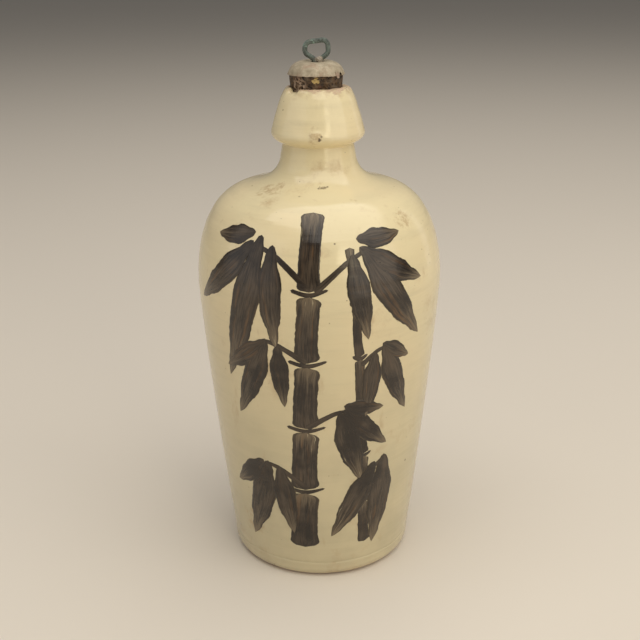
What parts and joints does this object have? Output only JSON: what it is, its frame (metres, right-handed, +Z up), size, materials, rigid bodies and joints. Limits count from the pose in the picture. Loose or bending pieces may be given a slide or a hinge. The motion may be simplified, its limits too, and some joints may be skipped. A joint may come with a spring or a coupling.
{
  "type": "sake bottle",
  "caption": "Tall glazed stoneware sake flask with a high shoulder, flared collar and a tapered cork stopper with a domed metal cap and a wire eye.",
  "frame": {"origin": "centre of the foot, on the surface that the flask stands on", "axes": "+Z up along the flask's axis, -Y towards the painted front, +X along the wire eye's width"},
  "size_m": [0.136, 0.136, 0.296],
  "materials": {
    "cream_glaze": "gloss",
    "iron_brushwork": "gloss",
    "old_cork": "rough",
    "tinned_sheet": "oxidised",
    "verdigris_wire": "verdigris",
    "washer_sheet": "tarnished"
  },
  "bodies": {
    "flask": {"bottle": "cream_glaze"},
    "stopper": {"cork": "old_cork", "cap": "tinned_sheet", "eye": "verdigris_wire", "washer": "washer_sheet"}
  },
  "joints": [
    {"name": "stopper_lift", "type": "slide", "parent": "flask", "child": "stopper", "axis": [0, 0, 1], "range_m": [0, 0.035]}
  ]
}
